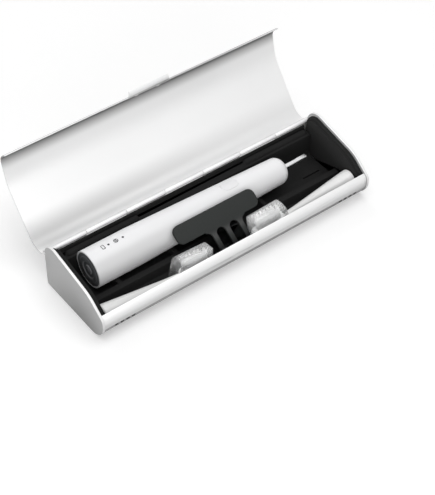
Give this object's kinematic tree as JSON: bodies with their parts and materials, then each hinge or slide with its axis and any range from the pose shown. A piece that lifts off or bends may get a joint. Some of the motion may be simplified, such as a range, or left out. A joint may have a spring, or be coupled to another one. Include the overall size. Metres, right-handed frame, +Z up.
{
  "type": "electric toothbrush travel case",
  "caption": "Long metal travel case with a hinged lid held open, a dark tray, a rubbery retainer over a cylindrical electric toothbrush, and spare brush heads under clear covers.",
  "frame": {"origin": "centre of the case's underside, where it stands on the table", "axes": "+X along the case towards the drive shaft's end, +Y towards the hinge, +Z up"},
  "size_m": [0.235, 0.1165, 0.0945],
  "materials": {
    "case_metal": "satin",
    "cap_metal": "satin",
    "tray_plastic": "matte",
    "retainer_plastic": "matte",
    "handle_plastic": "satin",
    "button_plastic": "satin",
    "base_plastic": "satin",
    "steel": "brushed",
    "head_plastic": "gloss",
    "bristle_nylon": "matte",
    "cover_clear": "clear gloss",
    "seal_rubber": "matte",
    "coil_copper": "satin",
    "cell_wrap": "satin",
    "chassis_plastic": "matte",
    "board_green": "satin",
    "light_window": "gloss"
  },
  "bodies": {
    "case": {"base_shell": "case_metal", "left_end_cap": "cap_metal", "right_end_cap": "cap_metal", "left_end_liner": "tray_plastic", "right_end_liner": "tray_plastic", "tray": "tray_plastic", "hinge_pin": "steel", "retainer_bracket": "tray_plastic"},
    "lid": {"lid_shell": "case_metal"},
    "retainer": {"retainer": "retainer_plastic", "retainer_pin": "steel"},
    "toothbrush": {"handle_housing": "handle_plastic", "base_cap": "base_plastic", "base_seal": "seal_rubber", "charging_coil": "coil_copper", "battery_cell": "cell_wrap", "chassis": "chassis_plastic", "circuit_board": "board_green", "button_switch": "base_plastic", "motor": "steel", "shaft_seal": "seal_rubber", "light_guides": "light_window"},
    "drive_shaft": {"drive_shaft": "steel"},
    "power_button": {"power_button": "button_plastic"},
    "left_head": {"left_head_body": "head_plastic", "left_head_sleeve": "steel", "left_bristles": "bristle_nylon"},
    "left_cover": {"left_cover": "cover_clear"},
    "right_head": {"right_head_body": "head_plastic", "right_head_sleeve": "steel", "right_bristles": "bristle_nylon"},
    "right_cover": {"right_cover": "cover_clear"}
  },
  "joints": [
    {"name": "lid_hinge", "type": "hinge", "parent": "case", "child": "lid", "pos_m": [0, 0.0344, 0.0298], "axis": [1, 0, 0], "range_deg": [0, 140]},
    {"name": "toothbrush_lift", "type": "slide", "parent": "case", "child": "toothbrush", "axis": [0, 0, 1], "range_m": [0, 0.035]},
    {"name": "retainer_lift", "type": "slide", "parent": "case", "child": "retainer", "axis": [0, 0, 1], "range_m": [0, 0.0385]},
    {"name": "power_button_press", "type": "slide", "parent": "toothbrush", "child": "power_button", "axis": [0, 0, -1], "range_m": [0, 0.00035], "stiffness_N_per_m": 1500, "springref_m": -0.0003},
    {"name": "shaft_oscillation", "type": "hinge", "parent": "toothbrush", "child": "drive_shaft", "pos_m": [0.06, 0.00986, 0.0222], "axis": [1, 0, 0], "range_deg": [-12, 12], "stiffness_Nm_per_rad": 0.05},
    {"name": "left_head_lift", "type": "slide", "parent": "case", "child": "left_head", "axis": [0, 0, 1], "range_m": [0, 0.04]},
    {"name": "left_cover_pull", "type": "slide", "parent": "left_head", "child": "left_cover", "axis": [0.0454, 0.139, 0.9892], "range_m": [0, 0.022]},
    {"name": "right_head_lift", "type": "slide", "parent": "case", "child": "right_head", "axis": [0, 0, 1], "range_m": [0, 0.04]},
    {"name": "right_cover_pull", "type": "slide", "parent": "right_head", "child": "right_cover", "axis": [-0.0454, 0.139, 0.9892], "range_m": [0, 0.022]}
  ],
  "couplings": [
    {"joint": "retainer_lift", "follows": "toothbrush_lift", "ratio": 1.1}
  ]
}
